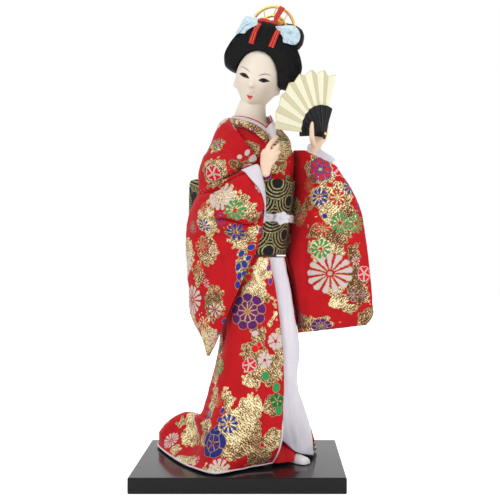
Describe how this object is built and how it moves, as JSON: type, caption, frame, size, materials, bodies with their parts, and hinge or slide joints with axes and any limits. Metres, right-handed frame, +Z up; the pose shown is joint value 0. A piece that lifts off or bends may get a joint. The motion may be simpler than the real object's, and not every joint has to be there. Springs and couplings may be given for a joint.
{
  "type": "geisha doll",
  "caption": "Standing geisha display doll in a brocade kimono with trailing hem, raised open fan and dressed hair, fixed on a thin rectangular plinth.",
  "frame": {"origin": "centre of the plinth's underside", "axes": "+Z up, the doll stands along it; -Y to the front of the plinth, where the doll looks; +X to the doll's left side, the viewer's right"},
  "size_m": [0.1501, 0.1, 0.3046],
  "materials": {
    "plinth_black": "black lacquered board, satin",
    "post_steel": "plain steel rod, hidden",
    "core_straw": "plain padded body form, hidden",
    "face_cream": "cream shell-white lacquer, soft sheen, painted features",
    "hair_black": "combed black silk thread",
    "gold_metal": "gilt pierced metal",
    "ribbon_red": "red crepe ribbon with gold edge stripes",
    "cloth_blue": "pale blue crimped cloth",
    "brocade_red": "red brocade with gold-thread clouds and multicoloured flowers",
    "brocade_gold": "brown and gold brocade collar with purple petals",
    "cloth_white": "plain white cotton",
    "cloth_red": "plain red cloth",
    "obi_black": "black brocade with gold scale arcs",
    "hand_flesh": "painted flesh, soft sheen",
    "tabi_white": "white cotton sock over a formed foot",
    "fan_paper": "pale gold pleated paper",
    "fan_lacquer": "black lacquered sticks"
  },
  "bodies": {
    "root": {"base_plinth": "plinth_black", "stand_post": "post_steel", "body_core": "core_straw", "head_and_neck": "face_cream", "hair_wig": "hair_black", "hair_bun": "hair_black", "comb_gold": "gold_metal", "ribbon_band": "ribbon_red", "ribbon_tail_left": "ribbon_red", "ribbon_tail_right": "ribbon_red", "ribbon_tail_up": "ribbon_red", "flower_blue_left": "cloth_blue", "flower_blue_right": "cloth_blue", "kimono_bodice": "brocade_red", "under_collar_white": "cloth_white", "collar_piping_red": "cloth_red", "collar_right": "brocade_gold", "collar_left": "brocade_gold", "obi_band": "obi_black", "obi_drum": "obi_black", "obijime_cord": "cloth_white", "obijime_knot": "cloth_white", "sleeve_right": "brocade_red", "sleeve_left": "brocade_red", "sleeve_right_lining": "cloth_white", "sleeve_left_cuff": "cloth_white", "hand_right": "hand_flesh", "hand_left": "hand_flesh", "kimono_skirt": "brocade_red", "under_robe_white": "cloth_white", "under_skirt_red": "cloth_red", "tabi_left": "tabi_white", "tabi_right": "tabi_white", "fan_leaf": "fan_paper", "fan_rib_01": "fan_lacquer", "fan_rib_02": "fan_lacquer", "fan_rib_03": "fan_lacquer", "fan_rib_04": "fan_lacquer", "fan_rib_05": "fan_lacquer", "fan_rib_06": "fan_lacquer", "fan_rib_07": "fan_lacquer", "fan_rib_08": "fan_lacquer", "fan_rivet": "gold_metal"}
  },
  "joints": []
}
